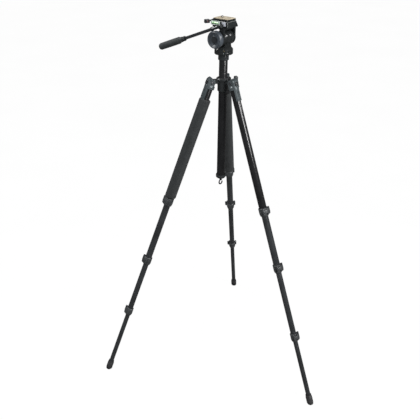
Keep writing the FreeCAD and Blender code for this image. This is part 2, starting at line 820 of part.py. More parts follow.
def qr_plate():
    """Camera plate with a tapered foot that drops into the receiver."""
    slab = box(
        -plate_half_width, plate_half_width, -plate_half_length, plate_half_length, plate_low, plate_high
    )
    slab = rounded(slab, 2.0, lambda e: e.BoundBox.ZLength > 1 and e.BoundBox.XLength < 0.01)
    foot_block = loft_rectangles(
        plate_foot_half_width, plate_foot_half_length, plate_foot_low,
        plate_foot_half_width + dovetail_flare, plate_foot_half_length + dovetail_flare, plate_low,
    )
    shank = up_bar(screw_shank_radius + running_clearance, plate_foot_low - 1, plate_high + 1, 0, stud_y)
    pocket = up_bar(screw_head_radius + 0.6, plate_foot_low - 1, plate_foot_low + screw_head_pocket, 0, stud_y)
    return fuse(slab, foot_block).cut(fuse(shank, pocket))


def cork_pad():
    half_x = plate_half_width - cork_margin
    half_y = plate_half_length - cork_margin
    pad = box(-half_x, half_x, -half_y, half_y, plate_high, cork_high)
    pad = rounded(pad, 1.6, lambda e: e.BoundBox.ZLength > 1)
    return pad.cut(up_bar(cork_hole_radius, plate_high - 1, cork_high + 1, 0, stud_y))


def camera_screw():
    """Quarter-inch camera screw with a slotted head under the plate."""
    head_low = plate_foot_low + 0.8
    head = up_bar(screw_head_radius, head_low, plate_foot_low + screw_head_pocket - 0.3)
    shank = up_bar(screw_shank_radius, head_low + 1, cork_high)
    stud = turned([
        (0, cork_high), (stud_radius, cork_high), (stud_radius, stud_high - stud_bevel),
        (stud_radius - stud_bevel, stud_high), (0, stud_high),
    ])
    slot = box(-9, 9, -0.8, 0.8, head_low - 1, head_low + 1.4)
    screw = fuse(head, shank, stud).cut(slot)
    screw.translate(V(0, stud_y, 0))
    return screw


def qr_lever():
    """Release lever on an upright pin at the receiver's rear left corner."""
    low = lever_seat + body_gap
    boss = up_bar(lever_boss_radius, low, lever_boss_high, lever_pin_at.x, lever_pin_at.y)
    arm = box(0, lever_block_reach - 4, -2.4, 2.4, low, lever_arm_high)
    block = box(
        lever_block_reach - lever_block_half_length, lever_block_reach + lever_block_half_length,
        -lever_block_half_width, lever_block_half_width, lever_block_low, lever_block_high,
    )
    block = rounded(block, 2.0, lambda e: True)
    swung = fuse(arm, block)
    swung.rotate(ORIGIN, Z_AXIS, lever_rest_deg)
    swung.translate(lever_pin_at)
    bore_radius = lever_pin_radius + running_clearance
    bore = up_bar(bore_radius, low - 1, lever_boss_high + 1, lever_pin_at.x, lever_pin_at.y)
    return fuse(boss, swung).cut(bore)


def handle_parts():
    """Rod with its ferrule, and the moulded grip, drawn along +Z."""
    grip_start = handle_length - grip_length
    rod = up_bar(handle_rod_radius, -handle_seat_depth, handle_length - 8)
    ferrule = up_bar(handle_rod_radius + ferrule_step, ferrule_start, ferrule_end)
    grip = turned([
        (0, grip_start), (nose_radius - 1, grip_start), (nose_radius, grip_start + 1.2),
        (nose_radius, grip_start + nose_step_at), (nose_radius + 1, grip_start + nose_step_at + 1.5),
        (nose_radius + 1, grip_start + nose_length - 2), (grip_radius, grip_start + nose_length + 1),
        (grip_radius, handle_length - 7), (grip_radius - 2, handle_length - 2),
        (grip_radius - 5.5, handle_length), (0, handle_length),
    ])
    grip = grip.cut(up_bar(handle_rod_radius + running_clearance, grip_start - 1, handle_length - 7.5))
    place = FreeCAD.Placement(handle_root, FreeCAD.Rotation(X_AXIS, -90 + handle_pitch_deg)).toMatrix()
    return {"pan_handle_rod": placed(fuse(rod, ferrule), place), "handle_grip": placed(grip, place)}


def main():
    nodes = {}
    for name, spec in LEGS.items():
        nodes.update(leg(name, spec))
    nodes["spider"] = spider()
    nodes["leg_hinge_bolts"] = hinge_bolts()
    nodes["column_lock_knob"] = column_lock_knob()
    nodes["centre_column"] = centre_column()
    nodes["column_end_cap"] = column_end_cap()
    nodes["ballast_hook"] = ballast_hook()
    nodes["column_head_plate"] = column_head_plate()
    nodes["pan_base"] = pan_base()
    nodes["head_body"] = head_body()
    nodes["pan_lock_knob"] = pan_lock_knob()
    nodes["tilt_drag_knob"] = tilt_drag_knob()
    nodes["tilt_platform"] = tilt_platform()
    nodes["bubble_level"] = bubble_level()
    nodes["qr_lever"] = qr_lever()
    nodes["qr_plate"] = qr_plate()
    nodes["cork_pad"] = cork_pad()
    nodes["camera_screw"] = camera_screw()
    nodes.update(handle_parts())
    os.makedirs("parts", exist_ok=True)
    for name, shape in nodes.items():
        solids = len(shape.Solids)
        print(f"{name}: {solids} solids, {shape.Volume / 1000:.2f} cm3, valid {shape.isValid()}")
        shape.exportStep(f"parts/{name}.step")


main()
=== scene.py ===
"""Looks of the tripod with its fluid head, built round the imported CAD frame.

Everything is in metres, in the CAD's own frame: +Z up, the column on the Z axis,
the pan handle towards +Y. Leg pieces are drawn in the leg's own frame, with the
fold hinge at its origin, the leg down -Z and +X away from the column.
"""
import json
import math

import bmesh
import bpy
from mathutils import Matrix, Vector, noise


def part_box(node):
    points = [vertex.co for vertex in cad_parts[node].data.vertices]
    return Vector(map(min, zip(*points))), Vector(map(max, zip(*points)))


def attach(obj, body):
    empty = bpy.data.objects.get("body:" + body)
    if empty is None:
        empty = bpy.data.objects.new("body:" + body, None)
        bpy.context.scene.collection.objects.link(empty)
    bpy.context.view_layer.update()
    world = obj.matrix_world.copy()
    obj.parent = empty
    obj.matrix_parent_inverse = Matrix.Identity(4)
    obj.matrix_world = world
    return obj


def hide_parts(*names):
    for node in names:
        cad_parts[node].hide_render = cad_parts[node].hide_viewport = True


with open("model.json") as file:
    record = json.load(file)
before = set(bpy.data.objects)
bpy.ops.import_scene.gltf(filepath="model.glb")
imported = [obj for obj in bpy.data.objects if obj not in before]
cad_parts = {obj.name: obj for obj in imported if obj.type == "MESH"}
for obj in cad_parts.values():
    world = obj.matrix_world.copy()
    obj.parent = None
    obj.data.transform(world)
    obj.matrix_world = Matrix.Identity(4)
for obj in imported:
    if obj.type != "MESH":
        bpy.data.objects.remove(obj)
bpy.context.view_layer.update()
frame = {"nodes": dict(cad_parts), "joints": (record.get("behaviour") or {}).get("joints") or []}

JOINTS = {joint["name"]: joint for joint in frame["joints"]}
NODES = frame["nodes"]
LEGS = ("left", "front", "right")
FOAM_LEGS = ("left", "right")
LOCK_STAGES = (1, 2, 3)

# Screws
SCREW_SINK = 0.0002
SCREW_RECESS_TURN = 0.3

# Leg pieces
TUBE_RADII = {1: 0.0115, 2: 0.0098, 3: 0.0081}   # the tube that leaves each lock
COLLAR_TOP_BEVEL = 0.0015
COLLAR_TAPER = 0.0070
LEVER_THICKNESS = 0.0042
LEVER_PIN_TO_COLLAR = 0.0040
LEVER_CLEARANCE = 0.0008
RIB_COUNT = 5
RIB_FIRST_DEG, RIB_STEP_DEG = 26, 7
RIB_LENGTH_SHARE = 0.62
TONGUE_RIB_FACE = 0.0178
TONGUE_SCREW_HEIGHTS = (-0.0335, -0.0535)
STOP_FACE = 0.0186
STOP_RIDGE_TOP, STOP_RIDGE_STEP = -0.0026, 0.0022
FOAM_RADIUS, FOAM_BORE = 0.0199, 0.01335
FOAM_ROWS, FOAM_COLUMNS = 150, 96
FOAM_ROUNDING = 0.0016
FOAM_SEAM_ANGLE, FOAM_SEAM_WIDTH, FOAM_SEAM_DEPTH = math.pi, 0.035, 0.0005

# Head pieces
CAMERA_SIDE_DEG = 219.5   # the side of the pan base that carries the index marks
CAP_RECESS = 0.0016
INDEX_PLUG_HEIGHT, INDEX_TICK_HEIGHT = 0.0060, 0.0058
GRUB_FIRST_DEG, GRUB_HEIGHT = 249.5, 0.0075
HEAD_COLLAR_RADIUS = 0.0176
INSERT_SIZE, INSERT_CENTRE = (0.0021, 0.0166, 0.0131), (-0.02305, -0.0170, 1.30125)
LEVER_BLOCK_CENTRE, LEVER_BLOCK_HALF_WIDTH = (-0.0341, 0.0441, 1.3060), 0.0055
LEVEL_END_LENGTH = 0.0050
VIAL_RADIUS, VIAL_END_GAP, VIAL_LINE_OFFSET = 0.0033, 0.0045, 0.0050
GRIP_BORE, GRIP_BARREL, GRIP_NOSE, GRIP_NECK = 0.00525, 0.0121, 0.0083, 0.0093
GRIP_GROOVES, GRIP_STEPS = 3, 40

# Column pieces
LUG_HALF_HEIGHT, LUG_SCREW_RADIUS = 0.0070, 0.0285
KNURL_TEETH, KNURL_RADIUS, KNURL_HEIGHT = 36, 0.0169, 0.0080

# Studio and camera
FLOOR_HALF = 40.0
WORLD_SEEN, WORLD_DIFFUSE, WORLD_GLOSSY = 0.985, 0.42, 0.10
FLOOR_SEEN, FLOOR_SHARE = 1.015, 0.965
SENSOR_WIDTH, LENS_LENGTH = 36.0, 52.32857
LENS_SHIFT = (0.0885, -0.1140238)
CAMERA_PLACE = (-1.52736, -1.26394, 1.67394)
CAMERA_YAW_DEG, CAMERA_PITCH_DEG, CAMERA_ROLL_DEG = 45.47, 23.50, -0.594


# ------------------------------------------------------------------ materials


def new_material(name):
    """An empty node material with its shader, as (material, nodes, links, shader)."""
    material = bpy.data.materials.new(name)
    material.use_nodes = True
    nodes, links = material.node_tree.nodes, material.node_tree.links
    return material, nodes, links, nodes["Principled BSDF"]


def object_coordinates(nodes, links, scale=(1, 1, 1)):
    """Object coordinates, stretched by scale."""
    source = nodes.new("ShaderNodeTexCoord")
    mapping = nodes.new("ShaderNodeMapping")
    mapping.inputs["Scale"].default_value = scale
    links.new(source.outputs["Object"], mapping.inputs["Vector"])
    return mapping.outputs["Vector"]


def noise_texture(nodes, links, vector, scale, detail=4.0, roughness=0.55):
    texture = nodes.new("ShaderNodeTexNoise")
    texture.inputs["Scale"].default_value = scale
    texture.inputs["Detail"].default_value = detail
    texture.inputs["Roughness"].default_value = roughness
    links.new(vector, texture.inputs["Vector"])
    return texture.outputs["Fac"]


def voronoi_texture(nodes, links, vector, scale):
    """A cell pattern's node; its outputs are Distance and Color."""
    texture = nodes.new("ShaderNodeTexVoronoi")
    texture.inputs["Scale"].default_value = scale
    links.new(vector, texture.inputs["Vector"])
    return texture.outputs


def ramp(nodes, links, value, stops):
    """A colour ramp over value, from (position, colour) stops."""
    node = nodes.new("ShaderNodeValToRGB")
    elements = node.color_ramp.elements
    while len(elements) < len(stops):
        elements.new(0.5)
    for element, (position, colour) in zip(elements, stops):
        element.position = position
        element.color = (*colour, 1)
    links.new(value, node.inputs["Fac"])
    return node.outputs["Color"]


def map_range(nodes, links, value, low, high, to_low, to_high):
    node = nodes.new("ShaderNodeMapRange")
    node.inputs["From Min"].default_value = low
    node.inputs["From Max"].default_value = high
    node.inputs["To Min"].default_value = to_low
    node.inputs["To Max"].default_value = to_high
    links.new(value, node.inputs["Value"])
    return node.outputs["Result"]


def combine(nodes, links, first, second, operation="ADD"):
    node = nodes.new("ShaderNodeMath")
    node.operation = operation
    for socket, value in zip(node.inputs, (first, second)):
        if isinstance(value, (int, float)):
            socket.default_value = value
        else:
            links.new(value, socket)
    return node.outputs["Value"]


def bump(nodes, links, shader, height, strength, distance):
    node = nodes.new("ShaderNodeBump")
    node.inputs["Strength"].default_value = strength
    node.inputs["Distance"].default_value = distance
    links.new(height, node.inputs["Height"])
    links.new(node.outputs["Normal"], shader.inputs["Normal"])


def satin_paint(name, dark, light, roughness, metallic=0.0, grain=1500.0, depth=0.00006):
    """Painted or moulded surface: cloudy colour, fine pebble grain and rubbed patches."""
    material, nodes, links, shader = new_material(name)
    vector = object_coordinates(nodes, links)
    cloud = noise_texture(nodes, links, vector, 38.0, 6.0)
    pebble = voronoi_texture(nodes, links, vector, grain)["Distance"]
    fine = noise_texture(nodes, links, vector, grain * 1.7, 2.0)
    rubbed = noise_texture(nodes, links, vector, 120.0, 8.0, 0.7)
    colour = ramp(nodes, links, cloud, [(0.3, dark), (0.62, light), (0.8, [1.25 * c for c in light])])
    links.new(colour, shader.inputs["Base Color"])
    rough = map_range(nodes, links, rubbed, 0.35, 0.68, roughness[1], roughness[0])
    links.new(rough, shader.inputs["Roughness"])
    shader.inputs["Metallic"].default_value = metallic
    height = combine(nodes, links, pebble, combine(nodes, links, fine, 0.5, "MULTIPLY"))
    bump(nodes, links, shader, height, 0.35, depth)
    return material


def anodised_tube(name, dark, light, roughness=(0.19, 0.29)):
    """Glossy drawn and anodised tube: faint draw lines, haze and light handling marks."""
    material, nodes, links, shader = new_material(name)
    vector = object_coordinates(nodes, links)
    drawn = noise_texture(nodes, links, object_coordinates(nodes, links, (900, 900, 14)), 1.0, 3.0)
    haze = noise_texture(nodes, links, vector, 14.0, 5.0)
    marks = noise_texture(nodes, links, vector, 260.0, 9.0, 0.75)
    colour = ramp(nodes, links, haze, [(0.32, dark), (0.7, light)])
    links.new(colour, shader.inputs["Base Color"])
    base = map_range(nodes, links, marks, 0.4, 0.72, roughness[0], roughness[1])
    rough = combine(nodes, links, base, map_range(nodes, links, drawn, 0.3, 0.7, -0.03, 0.05))
    links.new(rough, shader.inputs["Roughness"])
    shader.inputs["Metallic"].default_value = 0.0
    shader.inputs["IOR"].default_value = 1.46
    bump(nodes, links, shader, drawn, 0.05, 0.00002)
    return material


def closed_foam(name, dark, light):
    """Closed-cell foam skin: fine cells, a few open pores and soft mottling."""
    material, nodes, links, shader = new_material(name)
    vector = object_coordinates(nodes, links)
    mottle = noise_texture(nodes, links, vector, 55.0, 5.0)
    cells = voronoi_texture(nodes, links, vector, 900.0)["Distance"]
    pores = voronoi_texture(nodes, links, vector, 420.0)["Distance"]
    grain = noise_texture(nodes, links, vector, 1800.0, 4.0)
    blotches = combine(nodes, links, mottle, map_range(nodes, links, cells, 0, 0.8, -0.1, 0.1))
    colour = ramp(nodes, links, blotches, [(0.3, dark), (0.7, light)])
    links.new(colour, shader.inputs["Base Color"])
    links.new(map_range(nodes, links, grain, 0.3, 0.7, 0.72, 0.9), shader.inputs["Roughness"])
    shader.inputs["Sheen Weight"].default_value = 0.06
    shader.inputs["Sheen Roughness"].default_value = 0.5
    open_pores = map_range(nodes, links, pores, 0.0, 0.16, -1.0, 0.0)
    height = combine(nodes, links, combine(nodes, links, cells, grain), open_pores)
    bump(nodes, links, shader, height, 0.55, 0.00018)
    return material


def moulded_rubber(name, dark, light):
    """Matt rubber with a fine spark-eroded texture and dusty lighter patches."""
    material, nodes, links, shader = new_material(name)
    vector = object_coordinates(nodes, links)
    dust = noise_texture(nodes, links, vector, 48.0, 7.0, 0.65)
    texture = noise_texture(nodes, links, vector, 1300.0, 5.0)
    links.new(ramp(nodes, links, dust, [(0.35, dark), (0.72, light)]), shader.inputs["Base Color"])
    links.new(map_range(nodes, links, dust, 0.3, 0.7, 0.55, 0.78), shader.inputs["Roughness"])
    bump(nodes, links, shader, texture, 0.4, 0.0001)
    return material


def pressed_cork(name):
    """Pressed cork: packed granules in tan and brown, dark flecks and small pits."""
    material, nodes, links, shader = new_material(name)
    vector = object_coordinates(nodes, links)
    granule = voronoi_texture(nodes, links, vector, 620.0)
    shade = nodes.new("ShaderNodeSeparateColor")
    links.new(granule["Color"], shade.inputs["Color"])
    colour = ramp(nodes, links, shade.outputs["Red"], [
        (0.0, (0.15, 0.115, 0.075)), (0.25, (0.24, 0.20, 0.14)),
        (0.6, (0.31, 0.27, 0.20)), (1.0, (0.38, 0.34, 0.26)),
    ])
    fleck = noise_texture(nodes, links, vector, 900.0, 3.0)
    dark = nodes.new("ShaderNodeMixRGB")
    dark.blend_type = "MULTIPLY"
    links.new(map_range(nodes, links, fleck, 0.62, 0.7, 0.0, 0.7), dark.inputs["Fac"])
    links.new(colour, dark.inputs["Color1"])
    dark.inputs["Color2"].default_value = (0.3, 0.2, 0.12, 1)
    links.new(dark.outputs["Color"], shader.inputs["Base Color"])
    links.new(map_range(nodes, links, fleck, 0.3, 0.7, 0.75, 0.92), shader.inputs["Roughness"])
    height = combine(nodes, links, granule["Distance"], fleck)
    bump(nodes, links, shader, height, 0.6, 0.00015)
    return material


def fine_paint(name, dark, light, roughness):
    """Smooth paint or plastic, with a much finer grain."""
    return satin_paint(name, dark, light, roughness, grain=2200.0, depth=0.00002)


def bright_metal(name, tint, roughness=(0.18, 0.34)):
    """Plated or turned metal with fine turning lines and small scuffs."""
    material, nodes, links, shader = new_material(name)
    vector = object_coordinates(nodes, links)
    scuff = noise_texture(nodes, links, vector, 420.0, 8.0, 0.7)
    lines = noise_texture(nodes, links, object_coordinates(nodes, links, (200, 200, 3200)), 1.0, 2.0)
    darker = [0.78 * c for c in tint]
    links.new(ramp(nodes, links, scuff, [(0.3, tint), (0.75, darker)]), shader.inputs["Base Color"])
    links.new(map_range(nodes, links, scuff, 0.3, 0.7, *roughness), shader.inputs["Roughness"])
    shader.inputs["Metallic"].default_value = 1.0
    bump(nodes, links, shader, combine(nodes, links, lines, scuff), 0.2, 0.00003)
    return material


def tinted_liquid(name, dark, light):
    """The spirit in a level's vial: vivid, clear and slightly uneven."""
    material, nodes, links, shader = new_material(name)
    vector = object_coordinates(nodes, links)
    swirl = noise_texture(nodes, links, vector, 90.0, 3.0)
    links.new(ramp(nodes, links, swirl, [(0.3, dark), (0.7, light)]), shader.inputs["Base Color"])
    links.new(map_range(nodes, links, swirl, 0.3, 0.7, 0.04, 0.1), shader.inputs["Roughness"])
    shader.inputs["Coat Weight"].default_value = 1.0
    shader.inputs["Coat Roughness"].default_value = 0.03
    return material


def pale_floor(name):
    """The floor looks almost white, and sends less light than that back to the object."""
    material, nodes, links, shader = new_material(name)
    vector = object_coordinates(nodes, links)
    cloud = noise_texture(nodes, links, vector, 1.5, 3.0)
    grey = ramp(nodes, links, cloud, [(0.3, (0.50, 0.50, 0.50)), (0.7, (0.54, 0.54, 0.54))])
    links.new(grey, shader.inputs["Base Color"])
    shader.inputs["Roughness"].default_value = 0.9
    shader.inputs["Specular IOR Level"].default_value = 0.1
    glow = nodes.new("ShaderNodeEmission")
    glow.inputs["Strength"].default_value = FLOOR_SEEN
    white = ramp(nodes, links, cloud, [(0.3, (0.99, 0.99, 0.99)), (0.7, (1.0, 1.0, 1.0))])
    links.new(white, glow.inputs["Color"])
    path = nodes.new("ShaderNodeLightPath")
    share = combine(nodes, links, path.outputs["Is Camera Ray"], FLOOR_SHARE, "MULTIPLY")
    mix = nodes.new("ShaderNodeMixShader")
    links.new(share, mix.inputs["Fac"])
    links.new(shader.outputs["BSDF"], mix.inputs[1])
    links.new(glow.outputs["Emission"], mix.inputs[2])
    links.new(mix.outputs["Shader"], nodes["Material Output"].inputs["Surface"])
    return material


MATERIALS = {
    "casting": satin_paint("painted_casting", (0.008, 0.009, 0.0095), (0.016, 0.018, 0.019), (0.2, 0.32)),
    "bracket": satin_paint("bracket_enamel", (0.036, 0.044, 0.047), (0.062, 0.074, 0.079), (0.26, 0.4), 0.35),
    "head": satin_paint("head_enamel", (0.006, 0.007, 0.0072), (0.012, 0.0135, 0.014), (0.17, 0.28)),
    "plastic": satin_paint("lock_plastic", (0.017, 0.019, 0.020), (0.033, 0.036, 0.038), (0.36, 0.52)),
    "knob": satin_paint("knob_satin", (0.020, 0.024, 0.029), (0.038, 0.045, 0.054), (0.26, 0.38)),
    "gloss": fine_paint("dark_gloss", (0.008, 0.009, 0.010), (0.016, 0.018, 0.020), (0.12, 0.22)),
    "housing": fine_paint("level_housing", (0.26, 0.31, 0.285), (0.38, 0.43, 0.405), (0.18, 0.32)),
    "red": satin_paint("red_mark", (0.045, 0.010, 0.012), (0.075, 0.015, 0.018), (0.3, 0.45)),
    "tube": anodised_tube("black_tube", (0.0055, 0.0056, 0.0060), (0.011, 0.011, 0.012)),
    "lower_tube": anodised_tube("lower_tube", (0.012, 0.013, 0.014), (0.024, 0.026, 0.028), (0.2, 0.34)),
    "foam": closed_foam("foam_skin", (0.006, 0.0075, 0.008), (0.011, 0.013, 0.014)),
    "grip": moulded_rubber("grip_rubber", (0.014, 0.017, 0.018), (0.026, 0.030, 0.031)),
    # Pale grey for strips on the receiver's front edges: painted highlight where its chamfers catch the
    # light.
    "edge_highlight": fine_paint("painted_edge_highlight", (0.10, 0.11, 0.105), (0.19, 0.20, 0.19), (0.25, 0.4)),
    "rubber": moulded_rubber("boot_rubber", (0.008, 0.008, 0.009), (0.022, 0.022, 0.023)),
    "cork": pressed_cork("pressed_cork"),
    "steel": bright_metal("zinc_plate", (0.42, 0.43, 0.46)),
    "insert": fine_paint("insert_face", (0.22, 0.23, 0.26), (0.34, 0.36, 0.40), (0.3, 0.45)),
    "brass": bright_metal("brass", (0.78, 0.60, 0.30)),
    "dark_steel": bright_metal("blackened_steel", (0.10, 0.10, 0.11), (0.3, 0.45)),
    "liquid": tinted_liquid("level_liquid", (0.17, 0.34, 0.15), (0.26, 0.45, 0.22)),
    "bubble": tinted_liquid("level_bubble", (0.62, 0.85, 0.55), (0.78, 0.92, 0.70)),
}


# -------------------------------------------------------------- mesh helpers


def finish_mesh(name, bm, material, body, smooth_deg=38.0):
    """Turns a bmesh into a named piece with a material, riding on a body."""
    mesh = bpy.data.meshes.new(name)
    bmesh.ops.recalc_face_normals(bm, faces=bm.faces)
    bm.to_mesh(mesh)
    bm.free()
    for polygon in mesh.polygons:
        polygon.use_smooth = True
    mesh.set_sharp_from_angle(angle=math.radians(smooth_deg))
    piece = bpy.data.objects.new(name, mesh)
    bpy.context.scene.collection.objects.link(piece)
    piece.data.materials.append(MATERIALS[material])
    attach(piece, body)
    return piece


def around(radius, angle, height=0.0):
    """A point on a circle about the Z axis."""
    return Vector((radius * math.cos(angle), radius * math.sin(angle), height))


def lathe(profile, matrix, segments=64):
    """A bmesh turned about the matrix's Z axis; a point of zero radius closes an end.

    The profile is a list of (radius, height) points.
    """
    bm = bmesh.new()
    rings = []
    for radius, height in profile:
        if radius < 1e-7:
            rings.append([bm.verts.new(matrix @ Vector((0, 0, height)))])
            continue
        ring = []
        for i in range(segments):
            ring.append(bm.verts.new(matrix @ around(radius, 2 * math.pi * i / segments, height)))
        rings.append(ring)
    closed = rings[0] is not rings[-1] and len(rings[0]) > 1
    pairs = list(zip(rings, rings[1:])) + ([(rings[-1], rings[0])] if closed else [])
    for low, high in pairs:
        for i in range(segments):
            j = (i + 1) % segments
            if len(low) == 1 and len(high) == 1:
                break
            if len(low) == 1:
                bm.faces.new((low[0], high[j], high[i]))
            elif len(high) == 1:
                bm.faces.new((low[i], low[j], high[0]))
            else:
                bm.faces.new((low[i], low[j], high[j], high[i]))
    return bm


def block(size, matrix, bevel=0.0004, segments=3):
    """A bmesh box of that size about the matrix's origin, with rounded edges."""
    bm = bmesh.new()
    bmesh.ops.create_cube(bm, size=1.0)
    bmesh.ops.scale(bm, vec=size, verts=bm.verts)
    bmesh.ops.bevel(bm, geom=bm.edges[:], offset=bevel, segments=segments, profile=0.6, affect="EDGES")
    bmesh.ops.transform(bm, matrix=matrix, verts=bm.verts)
    return bm


def merged(*parts):
    """One bmesh out of several."""
    whole = bmesh.new()
    for part in parts:
        mesh = bpy.data.meshes.new("part")
        part.to_mesh(mesh)
        part.free()
        whole.from_mesh(mesh)
        bpy.data.meshes.remove(mesh)
    return whole


def facing(point, direction, up=(0, 0, 1)):
    """A matrix whose Z axis points along direction at point."""
    z = Vector(direction).normalized()
    x = Vector(up).cross(z)
    if x.length < 1e-6:
        x = Vector((1, 0, 0)).cross(z)
        if x.length < 1e-6:
            x = Vector((0, 1, 0)).cross(z)
    x.normalize()
    y = z.cross(x)
    matrix = Matrix((x, y, z)).transposed().to_4x4()
    matrix.translation = Vector(point)
    return matrix


def screw_head(name, matrix, radius, height, material, body):
    """A pan-head screw with a cross recess, standing on the matrix's plane."""
    rim = height * 0.45
    profile = [
        (0, -SCREW_SINK), (radius * 0.98, -SCREW_SINK), (radius, rim * 0.5), (radius * 0.97, rim),
        (radius * 0.82, height * 0.86), (radius * 0.5, height), (0, height),
    ]
    head = lathe(profile, matrix, 40)
    arms = []
    for turn in (0, math.pi / 2):
        turned = matrix @ Matrix.Rotation(turn + SCREW_RECESS_TURN, 4, "Z")
        arm_matrix = turned @ Matrix.Translation((0, 0, height))
        arms.append(block((radius * 1.1, radius * 0.22, height * 0.5), arm_matrix, radius * 0.03, 1))
    piece = finish_mesh(name, head, material, body)
    cutter_mesh = bpy.data.meshes.new(name + "_recess")
    recess = merged(*arms)
    recess.to_mesh(cutter_mesh)
    recess.free()
    cutter = bpy.data.objects.new(name + "_recess", cutter_mesh)
    bpy.context.scene.collection.objects.link(cutter)
    carve(piece, cutter)


def carve(piece, cutter):
    """Cuts one mesh out of another and removes the cutter."""
    modifier = piece.modifiers.new("recess", "BOOLEAN")
    modifier.operation = "DIFFERENCE"
    modifier.object = cutter
    modifier.solver = "EXACT"
    modifier.use_self = True
    bake_modifiers(piece)
    bpy.data.objects.remove(cutter, do_unlink=True)


def bake_modifiers(piece):
    """Applies what the piece's modifiers give."""
    bpy.context.view_layer.update()
    graph = bpy.context.evaluated_depsgraph_get()
    made = bpy.data.meshes.new_from_object(piece.evaluated_get(graph))
    old = piece.data
    piece.modifiers.clear()
    piece.data = made
    bpy.data.meshes.remove(old)
    made.name = piece.name


# ------------------------------------------------------------------ CAD looks


def node_material(node):
    """Which material a carried-over CAD node shows."""
    if "upper_tube" in node or node == "centre_column":
        return "tube"
    if "_tube_" in node:
        return "lower_tube"
    if node.endswith("_foot"):
        return "rubber"
    if node.endswith("_bracket"):
        return "bracket"
    if "lock_" in node and node not in ("column_lock_knob", "pan_lock_knob"):
        return "plastic"
    plain = {
        "leg_hinge_bolts": "steel", "camera_screw": "steel", "ballast_hook": "dark_steel",
        "cork_pad": "cork", "tilt_drag_knob": "knob", "pan_handle_rod": "gloss", "qr_lever": "gloss",
        "qr_plate": "head", "tilt_platform": "head", "head_body": "head", "pan_base": "head",
        "column_lock_knob": "plastic", "pan_lock_knob": "plastic", "bubble_level": "housing",
    }
    return plain.get(node, "casting")


def dress_cad_nodes():
    """Materials and softened edges on the CAD's own meshes."""
    for name, node in NODES.items():
        node.data.materials.clear()
        node.data.materials.append(MATERIALS[node_material(name)])
        weld = node.modifiers.new("weld", "WELD")
        weld.merge_threshold = 0.00001
        edges = node.modifiers.new("soft_edges", "BEVEL")
        edges.width = 0.00035
        edges.segments = 2
        edges.limit_method = "ANGLE"
        edges.angle_limit = math.radians(40)
        edges.harden_normals = False
        edges.use_clamp_overlap = True


# ----------------------------------------------------------------------- legs


def leg_frame(leg):
    """The leg's own frame, from its joints."""
    fold = JOINTS[f"{leg}_leg_fold"]
    up = -Vector(JOINTS[f"{leg}_section_2_slide"]["axis"]).normalized()
    across = -Vector(fold["axis"]).normalized()
    out = across.cross(up)
    matrix = Matrix((out, across, up)).transposed().to_4x4()
    matrix.translation = Vector(fold["pos_m"])
    return matrix


def lever_pin_on_leg(leg, stage, matrix):
    """Where a lock lever's pin is, in the leg's frame."""
    return matrix.inverted() @ Vector(JOINTS[f"{leg}_lever_{stage}_open"]["pos_m"])


def foam_surface_radius(angle, height, from_end):
    """The foam's radius, with rounded ends, waves, dimples and its glued seam."""
    rounding = FOAM_ROUNDING * max(0.0, 1 - from_end / FOAM_ROUNDING) ** 2
    wave = noise.noise(around(1.4, angle, height * 22)) * 0.00018
    dimple = noise.noise(around(7, angle, height * 300)) * 0.00006
    seam = FOAM_SEAM_DEPTH * math.exp(-((angle - FOAM_SEAM_ANGLE) / FOAM_SEAM_WIDTH) ** 2)
    return FOAM_RADIUS - 0.0002 - rounding + wave + dimple - seam


def foam_piece(leg, matrix):
    """Foam sleeve with its bore, built row by row from the bottom."""
    low, high = extent_along(f"{leg}_foam_sleeve", matrix)
    angles = [2 * math.pi * column / FOAM_COLUMNS for column in range(FOAM_COLUMNS)]
    bm = bmesh.new()
    grid = []
    for row in range(FOAM_ROWS + 1):
        t = row / FOAM_ROWS
        height = low + (high - low) * t
        from_end = min(t, 1 - t) * (high - low)
        radii = [foam_surface_radius(angle, height, from_end) for angle in angles]
        grid.append([bm.verts.new(matrix @ around(r, angle, height)) for r, angle in zip(radii, angles)])
    ends = []
    for height in (low, high):
        ends.append([bm.verts.new(matrix @ around(FOAM_BORE, angle, height)) for angle in angles])
    loops = [ends[0]] + grid + [ends[1]]
    for lower, upper in zip(loops, loops[1:] + loops[:1]):
        for column in range(FOAM_COLUMNS):
            after = (column + 1) % FOAM_COLUMNS
            bm.faces.new((lower[column], lower[after], upper[after], upper[column]))
    piece = finish_mesh(f"{leg}_foam_skin", bm, "foam", f"{leg}_leg", 50)
    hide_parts(f"{leg}_foam_sleeve")


def extent_along(node, matrix):
    """Lowest and highest point of a CAD node along the matrix's Z axis."""
    inverse = matrix.inverted()
    heights = [(inverse @ v.co).z for v in NODES[node].data.vertices]
    return min(heights), max(heights)


def lock_details(leg, stage, matrix):
    """Gasket, pin caps and lever ribs of one lock."""
    pin = lever_pin_on_leg(leg, stage, matrix)
    holder = f"{leg}_leg" if stage == 1 else f"{leg}_section_{stage}"
    low, high = extent_along(f"{leg}_lock_collar_{stage}", matrix)
    tube = TUBE_RADII[stage]
    gasket = [
        (tube + 0.0004, -0.0012), (tube + 0.0022, -0.0012), (tube + 0.0026, -0.0004),
        (tube + 0.0026, 0.0002), (tube + 0.0004, 0.0002),
    ]
    at_bottom = matrix @ Matrix.Translation((0, 0, low))
    finish_mesh(f"{leg}_gasket_{stage}", lathe(gasket, at_bottom), "rubber", holder)
    top_cap = matrix @ Matrix.Translation((pin.x, pin.y, high - COLLAR_TOP_BEVEL))
    bottom = matrix @ Matrix.Translation((pin.x, pin.y, low + COLLAR_TAPER))
    bottom_cap = bottom @ Matrix.Rotation(math.pi, 4, "X")
    for name, spot in (("top", top_cap), ("bottom", bottom_cap)):
        screw_head(f"{leg}_pin_cap_{stage}_{name}", spot, 0.0021, 0.0007, "steel", holder)
    lever_ribs(leg, stage, matrix, math.hypot(pin.x, pin.y))


